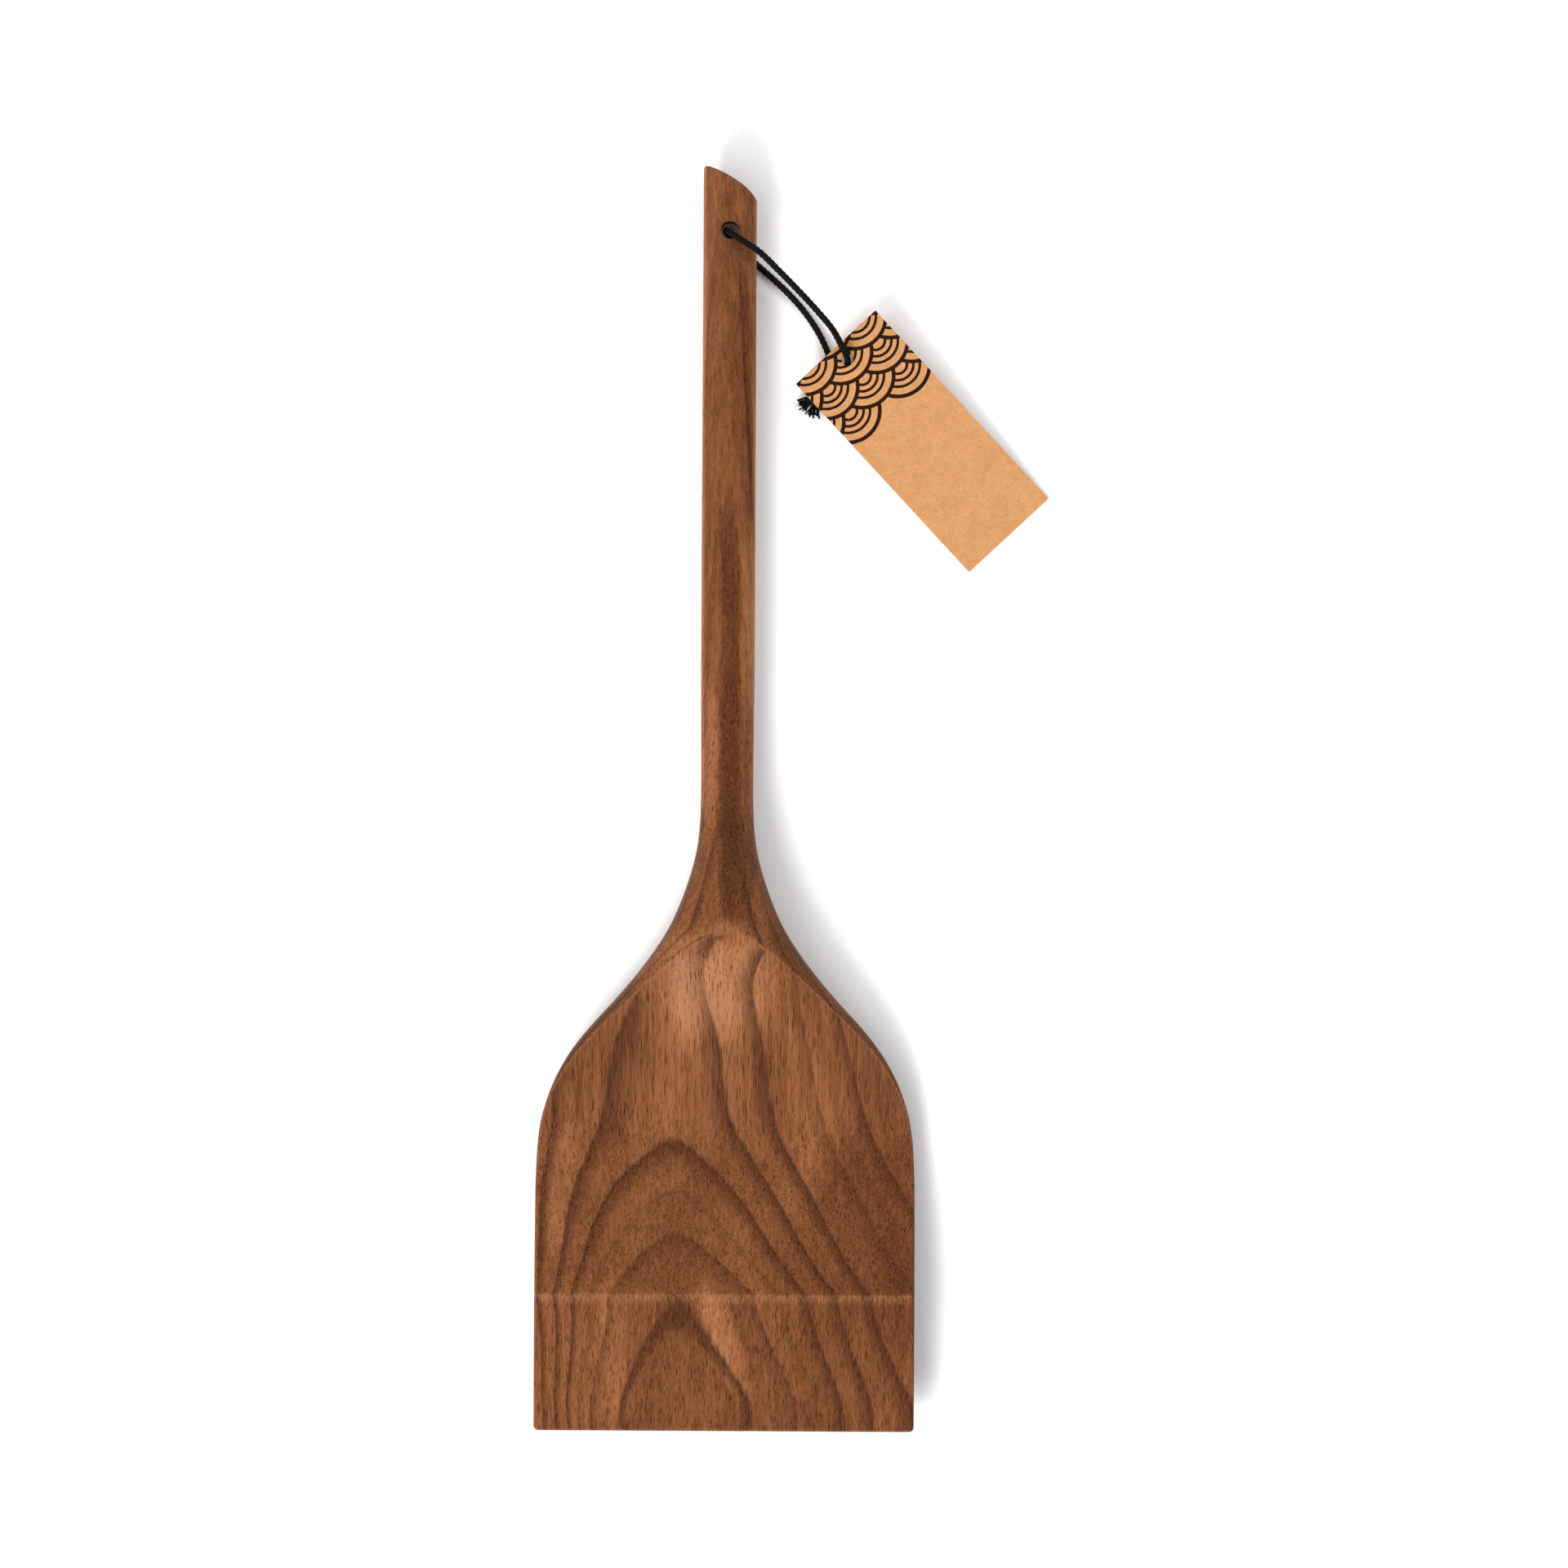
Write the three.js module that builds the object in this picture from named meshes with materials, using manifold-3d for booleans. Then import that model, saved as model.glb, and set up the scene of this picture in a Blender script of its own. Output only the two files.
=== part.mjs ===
import * as THREE from "three";
import { mergeVertices } from "three/addons/utils/BufferGeometryUtils.js";
import Module from "manifold-3d";

// Wooden spatula with a corded hang tag, in millimetres. The spatula lies on its sole:
// +Y runs from the blade tip to the handle end, +Z is up, the origin is under its middle.

// ---- Driving dimensions ----------------------------------------------------------------
const LENGTH = 350; // tip to handle end
const HALF = LENGTH / 2;
const TIP_CORNER = 1.3; // plan radius of the two corners of the tip
const TIP_TOP = 9.9; // height of the upper edge of the tip
const TIP_UNDER = 7.5; // height of the lower edge of the tip
const HANGING_HOLE = 4.8; // diameter, through the handle along Z
const HANGING_HOLE_Y = 157;

const CORD = 2.0; // diameter
const CORD_STEPS = 76;

const TAG_LENGTH = 71;
const TAG_WIDTH = 30;
const TAG_THICK = 0.6;
const TAG_HOLE = 3.2; // diameter
const TAG_HOLE_INSET = 4.85; // from the short edge
const TAG_HOLE_AT = new THREE.Vector3(32.65, 121.5, 5.82); // hole centre on the lower face
const TAG_HEADING = -46.87; // degrees from +X, hole end towards far end
const TAG_TILT = 5; // degrees, hole end raised by the knot under it

const KNOT_AT = new THREE.Vector3(26.2, 112.7, 2.72);
const KNOT_RADII = [4.0, 3.6, 2.55];
const TAILS = [
  { name: "cord_tail_upper", heading: 203, reach: 8.2 },
  { name: "cord_tail_lower", heading: 244, reach: 8.4 },
];
const TAIL_START = 4.4; // from the middle of the knot
const TAIL_R0 = 0.85;
const TAIL_R1 = 1.45;

// Half width of the plan outline [y, w].
const HALF_WIDTH = [
  [180, 7.35], [100, 7.38], [40, 7.4], [0, 7.22], [-8.5, 7.55], [-15.2, 8.45],
  [-22, 10.25], [-28.8, 12.65], [-35.5, 15.6], [-42.3, 19.85], [-49.1, 24.9],
  [-55.9, 30.7], [-62.6, 36.9], [-69.4, 42.4], [-76.2, 46.5], [-82.9, 49.3],
  [-89.7, 51.2], [-96.5, 52.05], [-108.9, 52.5], [-180, 52.6],
];
// Height of the widest line of the rounded blank [y, z].
const EDGE_Z = [
  [180, 8.1], [100, 7.9], [70, 7.5], [40, 7.1], [20, 6.95], [5, 7.1],
  [-10, 7.7], [-20, 8.0], [-30, 8.0], [-45, 7.6], [-60, 7.1], [-75, 6.5],
  [-85, 5.8], [-92, 5.4], [-99, 5.65], [-110, 7.1], [-120, 8.5], [-130, 9.8],
  [-137.3, 10.7], [-150, 10.3], [-160, 9.7], [-175, 8.7], [-180, 8.5],
];
// Crown of the blank above its widest line, before the scoop is cut [y, z].
const CROWN_Z = [
  [180, 13.6], [100, 13.4], [70, 13.0], [40, 12.7], [20, 12.6], [5, 13.4],
  [-10, 15.8], [-22, 18.0], [-32, 19.0], [-40, 19.6], [-50, 20.1], [-60, 19.3],
  [-70, 18.4], [-85, 16.9], [-100, 16.4], [-137, 21.5], [-180, 19.6],
];
// Keel of the blank below its widest line, before the sole and the flat are cut [y, z].
const KEEL_Z = [
  [180, -0.5], [100, -0.7], [70, -1.1], [40, -1.6], [20, -1.8], [5, -2.1],
  [-10, -2.6], [-22, -2.9], [-40, -3.0], [-65, -3.2], [-92, -4.6], [-110, -3.0],
  [-137, 0.6], [-180, 0.0],
];
// Side profile of the scoop and of the bevel beyond the crease [y, z].
const SCOOP = [
  [-14, 31], [-22, 26.6], [-30, 22.7], [-37.4, 19.35], [-43, 17.15], [-50, 14.75],
  [-58, 12.65], [-66, 11.0], [-75, 9.2], [-83, 7.75], [-88, 7.1], [-93, 6.85],
  [-99, 7.1], [-106, 7.95], [-116, 9.4], [-126, 10.85], [-137.2, 12.45],
];
// Underside: flat sole, then the rise towards the tip [y, z].
const SOLE = [
  [-48, 0], [-104, 0], [-110, 0.35], [-117, 1.1], [-125, 2.2], [-134, 3.5],
  [-144, 4.8], [-154, 5.85], [-164, 6.7],
];
// Flat under the neck and handle, from the sole to the handle end [y, z].
const HANDLE_FLAT = [
  [-48, 0], [-36, 0.35], [-20, 0.95], [5, 1.3], [40, 1.5], [70, 2.0], [100, 2.4],
  [185, 2.6],
];
// Slanted, slightly convex handle end [x, y].
const HANDLE_END = [
  [-9.5, 175.6], [-7.3, 175.0], [-3.4, 173.65], [0.6, 171.5], [3.9, 169.3],
  [5.9, 167.35], [7.1, 165.9], [9.5, 162.2],
];
// Middle of the cord, from the knot up through the tag, over the handle, down its hole,
// under the handle and back to the knot.
const CORD_LINE = [
  [29.33, 115.94, 2.45], [30.50, 117.22, 2.47], [31.18, 117.93, 2.54], [31.77, 118.68, 2.81],
  [32.24, 119.42, 3.28], [32.57, 120.10, 3.91], [32.73, 120.71, 4.68], [32.73, 121.20, 5.53],
  [32.61, 121.76, 6.70], [32.48, 122.22, 7.49], [32.25, 122.80, 8.17], [31.94, 123.48, 8.71],
  [31.57, 124.22, 9.10], [31.13, 125.00, 9.32], [28.60, 129.61, 9.98], [24.09, 134.96, 10.69],
  [19.05, 140.30, 11.41], [13.70, 145.64, 12.31], [8.02, 150.97, 13.63], [3.71, 153.75, 14.89],
  [2.71, 154.39, 15.05], [1.71, 155.04, 14.89], [0.78, 155.65, 14.43], [-0.02, 156.17, 13.70],
  [-0.63, 156.56, 12.75], [-1.02, 156.81, 11.64], [-1.15, 156.90, 10.45], [-1.15, 156.90, 7.97],
  [-1.15, 156.90, 5.50], [-1.06, 156.81, 4.44], [-0.79, 156.53, 3.43], [-0.36, 156.09, 2.56],
  [0.20, 155.50, 1.85], [0.86, 154.82, 1.37], [1.59, 154.07, 1.12], [6.89, 148.55, 1.09],
  [12.00, 144.05, 1.08], [16.28, 139.99, 1.08], [19.97, 135.94, 1.08], [22.99, 131.87, 1.10],
  [25.41, 127.81, 1.20], [27.55, 122.60, 1.50], [27.60, 119.80, 1.85], [27.10, 117.25, 2.25],
];

// ---- Helpers -----------------------------------------------------------------------------
const wasm = await Module();
wasm.setup();

function toSolid(geometry) {
  const bare = new THREE.BufferGeometry().setAttribute(
    "position",
    (geometry.index ? geometry.toNonIndexed() : geometry).getAttribute("position"),
  );
  const merged = mergeVertices(bare, 1e-4);
  return new wasm.Manifold(
    new wasm.Mesh({
      numProp: 3,
      vertProperties: new Float32Array(merged.attributes.position.array),
      triVerts: new Uint32Array(merged.index.array),
    }),
  );
}

function toGeometry(solid) {
  const m = solid.getMesh();
  const xyz = new Float32Array(m.numVert * 3);
  for (let i = 0; i < m.numVert; i++)
    xyz.set(m.vertProperties.subarray(i * m.numProp, i * m.numProp + 3), i * 3);
  const g = new THREE.BufferGeometry();
  g.setAttribute("position", new THREE.BufferAttribute(xyz, 3));
  g.setIndex(new THREE.BufferAttribute(new Uint32Array(m.triVerts), 1));
  g.computeVertexNormals();
  return g;
}

// Shape-preserving cubic through a table of [key, value] rows.
function tableCurve(rows) {
  const p = [...rows].sort((a, b) => a[0] - b[0]);
  const n = p.length;
  const slope = [];
  for (let i = 0; i < n - 1; i++) slope.push((p[i + 1][1] - p[i][1]) / (p[i + 1][0] - p[i][0]));
  const m = p.map((_, i) => {
    if (i === 0) return slope[0];
    if (i === n - 1) return slope[n - 2];
    const a = slope[i - 1];
    const b = slope[i];
    if (a * b <= 0) return 0;
    const ha = p[i][0] - p[i - 1][0];
    const hb = p[i + 1][0] - p[i][0];
    const wa = 2 * hb + ha;
    const wb = hb + 2 * ha;
    return (wa + wb) / (wa / a + wb / b);
  });
  return (x) => {
    let i = 0;
    while (i < n - 2 && x > p[i + 1][0]) i++;
    const h = p[i + 1][0] - p[i][0];
    const t = Math.min(1, Math.max(0, (x - p[i][0]) / h));
    return (
      p[i][1] * (1 + 2 * t) * (1 - t) ** 2 + m[i] * h * t * (1 - t) ** 2 +
      p[i + 1][1] * t * t * (3 - 2 * t) + m[i + 1] * h * t * t * (t - 1)
    );
  };
}

const halfWidth = tableCurve(HALF_WIDTH);
const edgeZ = tableCurve(EDGE_Z);
const crownZ = tableCurve(CROWN_Z);
const keelZ = tableCurve(KEEL_Z);

function material(color, roughness) {
  return new THREE.MeshStandardMaterial({ color, roughness, metalness: 0 });
}

const spatula = new THREE.Group();
spatula.name = "wooden_spatula";

function add(name, geometry, mat) {
  const mesh = new THREE.Mesh(geometry, mat);
  mesh.name = name;
  spatula.add(mesh);
  return mesh;
}

// ---- Spatula body --------------------------------------------------------------------------
// Rounded blank: a cylinder drawn out so that every ring is a section of the spatula.
function blank() {
  const rings = [180, 160, 130, 100, 70, 40, 20, 8, 0];
  for (let y = -5; y > -100; y -= 4) rings.push(y);
  rings.push(-104, -112, -122, -132, -142, -152, -163);
  for (const d of [1.3, 0.95, 0.6, 0.3, 0.08]) rings.push(-HALF + d);
  rings.push(-HALF - 3);
  const around = 48;
  const g = new THREE.CylinderGeometry(1, 1, rings.length - 1, around, rings.length - 1);
  const p = g.getAttribute("position");
  for (let i = 0; i < p.count; i++) {
    const y = rings[Math.round((rings.length - 1) / 2 - p.getY(i))];
    const d = y + HALF;
    let w = halfWidth(y);
    if (d < TIP_CORNER)
      w -= TIP_CORNER - Math.sqrt(Math.max(0, TIP_CORNER ** 2 - (TIP_CORNER - Math.max(d, 0.03)) ** 2));
    const e = edgeZ(y);
    const up = p.getZ(i);
    p.setXYZ(i, w * p.getX(i), y, e + up * (up > 0 ? crownZ(y) - e : e - keelZ(y)));
  }
  return toSolid(g);
}

// Everything between the scoop and bevel above and the sole below, across the full width.
function sideProfile() {
  const shape = new THREE.Shape();
  shape.moveTo(185, 31);
  shape.lineTo(SCOOP[0][0], SCOOP[0][1]);
  const scoop = new THREE.SplineCurve(SCOOP.map(([y, z]) => new THREE.Vector2(y, z)));
  for (const q of scoop.getSpacedPoints(52).slice(1)) shape.lineTo(q.x, q.y);
  shape.lineTo(-HALF + 0.35, TIP_TOP + 0.02);
  shape.lineTo(-HALF, TIP_TOP - 0.5);
  shape.lineTo(-HALF, TIP_UNDER + 0.5);
  shape.lineTo(-HALF + 0.45, TIP_UNDER - 0.02);
  const sole = new THREE.SplineCurve([
    new THREE.Vector2(-HALF + 0.45, TIP_UNDER - 0.02),
    ...SOLE.slice(1).reverse().map(([y, z]) => new THREE.Vector2(y, z)),
  ]);
  for (const q of sole.getSpacedPoints(22).slice(1)) shape.lineTo(q.x, Math.max(0, q.y));
  for (const [y, z] of HANDLE_FLAT) shape.lineTo(y, z);
  const g = new THREE.ExtrudeGeometry(shape, { depth: 140, bevelEnabled: false });
  g.translate(0, 0, -70);
  g.applyMatrix4(
    new THREE.Matrix4().makeBasis(
      new THREE.Vector3(0, 1, 0), new THREE.Vector3(0, 0, 1), new THREE.Vector3(1, 0, 0),
    ),
  );
  return toSolid(g);
}

// What lies beyond the slanted handle end.
function beyondEnd() {
  const curve = new THREE.SplineCurve(HANDLE_END.map(([x, y]) => new THREE.Vector2(x, y)));
  const shape = new THREE.Shape();
  shape.moveTo(HANDLE_END[0][0], 190);
  for (const q of curve.getSpacedPoints(18)) shape.lineTo(q.x, q.y);
  shape.lineTo(HANDLE_END[HANDLE_END.length - 1][0], 190);
  return toSolid(new THREE.ExtrudeGeometry(shape, { depth: 40, bevelEnabled: false }).translate(0, 0, -5));
}

function hangingHole() {
  const g = new THREE.CylinderGeometry(HANGING_HOLE / 2, HANGING_HOLE / 2, 40, 24);
  return toSolid(g.rotateX(Math.PI / 2).translate(0, HANGING_HOLE_Y, 10));
}

add(
  "spatula_body",
  toGeometry(blank().intersect(sideProfile()).subtract(beyondEnd()).subtract(hangingHole())),
  material(0x784930, 0.5),
);

// ---- Hang cord ------------------------------------------------------------------------------
const cordLine = new THREE.CatmullRomCurve3(
  CORD_LINE.map(([x, y, z]) => new THREE.Vector3(x, y, z)), false, "centripetal",
);
const cordSection = new THREE.Shape();
for (let i = 0; i < 8; i++) {
  const a = (i / 8) * 2 * Math.PI;
  const at = [(CORD / 2) * Math.cos(a), (CORD / 2) * Math.sin(a)];
  if (i) cordSection.lineTo(...at);
  else cordSection.moveTo(...at);
}
add(
  "hang_cord",
  new THREE.ExtrudeGeometry(cordSection, {
    steps: CORD_STEPS, bevelEnabled: false, extrudePath: cordLine, curveSegments: 1,
  }),
  material(0x16130f, 0.85),
);

// Knot behind the tag and the two frayed ends beyond it.
const knot = new THREE.SphereGeometry(1, 20, 12);
knot.rotateX(Math.PI / 2).scale(...KNOT_RADII).rotateZ(THREE.MathUtils.degToRad(44));
add("cord_knot", knot.translate(...KNOT_AT.toArray()), material(0x16130f, 0.85));

for (const { name, heading, reach } of TAILS) {
  const long = reach - TAIL_START;
  const tail = new THREE.CylinderGeometry(TAIL_R1, TAIL_R0, long, 12, 1);
  tail.translate(0, TAIL_START + long / 2, 0).rotateZ(THREE.MathUtils.degToRad(heading - 90));
  add(name, tail.translate(KNOT_AT.x, KNOT_AT.y, TAIL_R1 + 0.25), material(0x16130f, 0.9));
}

// ---- Hang tag --------------------------------------------------------------------------------
const card = new THREE.Shape();
card.moveTo(-TAG_HOLE_INSET, -TAG_WIDTH / 2);
card.lineTo(TAG_LENGTH - TAG_HOLE_INSET, -TAG_WIDTH / 2);
card.lineTo(TAG_LENGTH - TAG_HOLE_INSET, TAG_WIDTH / 2);
card.lineTo(-TAG_HOLE_INSET, TAG_WIDTH / 2);
card.closePath();
const punched = new THREE.Path();
punched.absarc(0, 0, TAG_HOLE / 2, 0, 2 * Math.PI, true);
card.holes.push(punched);
const tag = add(
  "hang_tag",
  new THREE.ExtrudeGeometry(card, { depth: TAG_THICK, bevelEnabled: false, curveSegments: 20 }),
  material(0xd8a474, 0.85),
);
tag.rotation.set(0, THREE.MathUtils.degToRad(TAG_TILT), THREE.MathUtils.degToRad(TAG_HEADING), "ZYX");
tag.position.copy(TAG_HOLE_AT);

export default spatula;
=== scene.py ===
import math
import random

import bpy
import numpy as np
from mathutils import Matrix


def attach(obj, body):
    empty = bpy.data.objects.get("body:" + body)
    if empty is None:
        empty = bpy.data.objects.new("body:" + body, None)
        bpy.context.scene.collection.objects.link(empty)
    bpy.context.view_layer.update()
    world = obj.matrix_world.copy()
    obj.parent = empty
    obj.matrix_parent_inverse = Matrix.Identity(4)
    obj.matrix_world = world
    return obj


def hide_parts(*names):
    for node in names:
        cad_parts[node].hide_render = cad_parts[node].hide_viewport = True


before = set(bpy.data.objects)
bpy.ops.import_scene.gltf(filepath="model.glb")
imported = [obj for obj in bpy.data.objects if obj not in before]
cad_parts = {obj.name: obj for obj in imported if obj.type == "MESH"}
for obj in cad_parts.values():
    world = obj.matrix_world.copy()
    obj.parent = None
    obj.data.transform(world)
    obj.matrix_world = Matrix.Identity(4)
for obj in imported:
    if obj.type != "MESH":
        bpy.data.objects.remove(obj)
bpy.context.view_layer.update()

MM = 0.001
scene = bpy.context.scene

# ---------------------------------------------------------------- tables, in millimetres
HANDLE_HOLE_Y, HANDLE_HOLE_R = 157.0, 2.4
TIP_Y = -175.0
CORD_D = 2.0
TAG_HOLE = (32.65, 121.5, 5.82)
TAG_HEADING, TAG_TILT = math.radians(-46.87), math.radians(5.0)
KNOT_AT = (26.2, 112.7, 2.72)

HALF_WIDTH = [
    (180, 7.35), (100, 7.38), (40, 7.4), (0, 7.22), (-8.5, 7.55), (-15.2, 8.45), (-22, 10.25),
    (-28.8, 12.65), (-35.5, 15.6), (-42.3, 19.85), (-49.1, 24.9), (-55.9, 30.7), (-62.6, 36.9),
    (-69.4, 42.4), (-76.2, 46.5), (-82.9, 49.3), (-89.7, 51.2), (-96.5, 52.05), (-108.9, 52.5),
    (-180, 52.6),
]
EDGE_Z = [
    (180, 8.1), (100, 7.9), (70, 7.5), (40, 7.1), (20, 6.95), (5, 7.1),
    (-10, 7.7), (-20, 8.0), (-30, 8.0), (-45, 7.6), (-60, 7.1), (-75, 6.5),
    (-85, 5.8), (-92, 5.4), (-99, 5.65), (-110, 7.1), (-120, 8.5), (-130, 9.8),
    (-137.3, 10.7), (-150, 10.3), (-160, 9.7), (-175, 8.7), (-180, 8.5),
]
CROWN_Z = [
    (180, 13.6), (100, 13.4), (70, 13.0), (40, 12.7), (20, 12.6), (5, 13.4),
    (-10, 15.8), (-22, 18.0), (-32, 19.0), (-40, 19.6), (-50, 20.1), (-60, 19.3),
    (-70, 18.4), (-85, 16.9), (-100, 16.4), (-137, 21.5), (-180, 19.6),
]
KEEL_Z = [
    (180, -0.5), (100, -0.7), (70, -1.1), (40, -1.6), (20, -1.8), (5, -2.1),
    (-10, -2.6), (-22, -2.9), (-40, -3.0), (-65, -3.2), (-92, -4.6), (-110, -3.0),
    (-137, 0.6), (-180, 0.0),
]
SCOOP = [
    (-2, 38.0), (-14, 31), (-22, 26.6), (-30, 22.7), (-37.4, 19.35), (-43, 17.15), (-50, 14.75),
    (-58, 12.65), (-66, 11.0), (-75, 9.2), (-83, 7.75), (-88, 7.1), (-93, 6.85), (-99, 7.1),
    (-106, 7.95), (-116, 9.4), (-126, 10.85), (-137.2, 12.45), (-150, 14.3), (-180, 18.6),
]
CREASE = (-137.2, 12.45)
BEVEL_END = (-174.65, 9.92)
SOLE = [
    (180, 2.6), (100, 2.4), (70, 2.0), (40, 1.5), (5, 1.3), (-20, 0.95), (-36, 0.35), (-48, 0), (-104, 0), (-110, 0.35), (-117, 1.1), (-125, 2.2),
    (-134, 3.5), (-144, 4.8), (-154, 5.85), (-164, 6.7), (-174.55, 7.48), (-180, 7.9),
]
# Upper end of the handle: how far up it reaches at each place across it.
HANDLE_END = [
    (-8.2, 172.6), (-7.42, 173.75), (-7.2, 174.45), (-6.8, 174.8), (-6.2, 174.72), (-3.4, 173.65),
    (0.6, 171.5), (3.9, 169.3), (5.9, 167.35), (7.1, 165.75), (7.42, 165.15), (8.2, 163.6),
]
# Middle of the cord, from the knot up through the tag, over the handle, down its hole, under
# the handle and back to the knot.
CORD_LINE = [
    (29.33, 115.94, 2.45), (30.50, 117.22, 2.47), (31.18, 117.93, 2.54),
    (31.77, 118.68, 2.81), (32.24, 119.42, 3.28), (32.57, 120.10, 3.91),
    (32.73, 120.71, 4.68), (32.73, 121.20, 5.53), (32.61, 121.76, 6.70),
    (32.48, 122.22, 7.49), (32.25, 122.80, 8.17), (31.94, 123.48, 8.71),
    (31.57, 124.22, 9.10), (31.13, 125.00, 9.32), (28.60, 129.61, 9.98),
    (24.09, 134.96, 10.69), (19.05, 140.30, 11.41), (13.70, 145.64, 12.31),
    (8.02, 150.97, 13.63), (3.71, 153.75, 14.89), (2.71, 154.39, 15.05),
    (1.71, 155.04, 14.89), (0.78, 155.65, 14.43), (-0.02, 156.17, 13.70),
    (-0.63, 156.56, 12.75), (-1.02, 156.81, 11.64), (-1.15, 156.90, 10.45),
    (-1.15, 156.90, 7.97), (-1.15, 156.90, 5.50), (-1.06, 156.81, 4.44),
    (-0.79, 156.53, 3.43), (-0.36, 156.09, 2.56), (0.20, 155.50, 1.85),
    (0.86, 154.82, 1.37), (1.59, 154.07, 1.12), (6.89, 148.55, 1.09),
    (12.00, 144.05, 1.08), (16.28, 139.99, 1.08), (19.97, 135.94, 1.08),
    (22.99, 131.87, 1.10), (25.41, 127.81, 1.20), (27.55, 122.60, 1.50),
    (27.60, 119.80, 1.85), (27.10, 117.25, 2.25),
]


# ---------------------------------------------------------------- curves
def monotone(points):
    """Smooth curve through a table without overshoot."""
    p = sorted(points)
    x = np.array([a for a, _ in p], float)
    y = np.array([b for _, b in p], float)
    h = np.diff(x)
    s = np.diff(y) / h
    m = np.empty_like(x)
    m[0], m[-1] = s[0], s[-1]
    for i in range(1, len(x) - 1):
        if s[i - 1] * s[i] <= 0:
            m[i] = 0.0
        else:
            a, b = 2 * h[i] + h[i - 1], h[i] + 2 * h[i - 1]
            m[i] = (a + b) / (a / s[i - 1] + b / s[i])

    def value(q):
        q = np.clip(np.asarray(q, float), x[0], x[-1])
        i = np.clip(np.searchsorted(x, q) - 1, 0, len(h) - 1)
        t = (q - x[i]) / h[i]
        return (
            y[i] * (1 + 2 * t) * (1 - t) ** 2
            + m[i] * h[i] * t * (1 - t) ** 2
            + y[i + 1] * t * t * (3 - 2 * t)
            + m[i + 1] * h[i] * t * t * (t - 1)
        )

    return value


LINE = np.arange(-190.0, 190.01, 0.1)


def eased(points, sigma):
    """The table's curve with its small kinks evened out over about sigma millimetres."""
    v = monotone(points)(LINE)
    n = int(sigma * 40)
    k = np.exp(-0.5 * (np.arange(-n, n + 1) / (sigma * 10)) ** 2)
    k /= k.sum()
    padded = np.concatenate([np.full(n, v[0]), v, np.full(n, v[-1])])
    v = np.convolve(padded, k, mode="valid")
    return lambda q: np.interp(q, LINE, v)


half_width_raw = eased(HALF_WIDTH, 2.2)
edge_z = eased(EDGE_Z, 4.0)
crown_z = eased(CROWN_Z, 3.0)
keel_z = eased(KEEL_Z, 5.0)
scoop_z = eased(SCOOP, 1.6)
sole_z = eased(SOLE, 3.0)
handle_end = monotone(HANDLE_END)


def softmin(a, b, k):
    h = np.maximum(k - np.abs(a - b), 0.0) / k
    return np.minimum(a, b) - h * h * k * 0.25


def softmax(a, b, k):
    return -softmin(-a, -b, k)


def half_width(y):
    """Half the width in plan, with the two corners of the tip rounded off."""
    r = 1.3
    d = np.clip(np.asarray(y, float) - TIP_Y, 0.0, r)
    return half_width_raw(y) - (r - np.sqrt(np.maximum(r * r - (r - d) ** 2, 0.0)))


def face_z(y):
    """Side profile of the scooped face and the bevel behind the tip."""
    slope = (CREASE[1] - BEVEL_END[1]) / (CREASE[0] - BEVEL_END[0])
    bevel = CREASE[1] + (np.asarray(y, float) - CREASE[0]) * slope
    return softmin(scoop_z(y), bevel, 0.1)


def end_drop(d, r):
    d = np.clip(d, 0.0, r)
    return r - np.sqrt(np.maximum(r * r - (r - d) ** 2, 0.0))


def skins(x, y):
    """Heights of the upper and the lower surface."""
    x, y = np.asarray(x, float), np.asarray(y, float)
    w = half_width(y)
    u = np.clip(x / w, -1.0, 1.0)
    arch = np.sqrt(np.maximum(1.0 - u * u, 0.0))
    e = edge_z(y)
    top = e + (crown_z(y) - e) * arch
    low = e - (e - keel_z(y)) * arch
    blade = np.clip((-20.0 - y) / 12.0, 0.0, 1.0)
    f = face_z(y)
    # The corner between the face and the rounded sides is eased by a fraction of a millimetre.
    k = 0.05 + 0.75 * np.clip((1.0 - np.abs(u)) / 0.3, 0.0, 1.0)
    top = np.where(blade > 0, softmin(top, f, k), top)
    g = sole_z(y)
    low = softmax(low, np.minimum(g, e), 0.8 * np.clip(arch, 0.02, 1.0))
    low = np.minimum(np.maximum(low, 0.0), top)
    gap = top - low
    rim = np.minimum(0.6, 0.42 * gap) + 1e-9
    d_end = np.maximum(handle_end(x) - y, 0.0)
    d_tip = np.maximum(y - TIP_Y, 0.0)
    fall = np.where(y > 100.0, end_drop(d_end, rim), 0.0)
    fall = fall + np.where(y < -150.0, end_drop(d_tip, np.minimum(0.75, 0.4 * gap) + 1e-9), 0.0)
    return top - fall, low + fall


def meeting_u(y):
    """Where the face meets the rounded sides, as a fraction of the half width."""
    e = edge_z(y)
    s = (face_z(y) - e) / (crown_z(y) - e)
    return np.sqrt(np.maximum(1.0 - np.clip(s, 0.0, 1.0) ** 2, 0.0))


# ---------------------------------------------------------------- mesh helpers
def make_object(name, verts, faces, material, body, smooth=True):
    mesh = bpy.data.meshes.new(name)
    mesh.from_pydata([tuple(map(float, v)) for v in np.asarray(verts) * MM], [], faces)
    mesh.validate()
    mesh.polygons.foreach_set("use_smooth", [smooth] * len(mesh.polygons))
    mesh.materials.append(material)
    mesh.update()
    ob = bpy.data.objects.new(name, mesh)
    scene.collection.objects.link(ob)
    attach(ob, body)
    return ob


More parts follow.
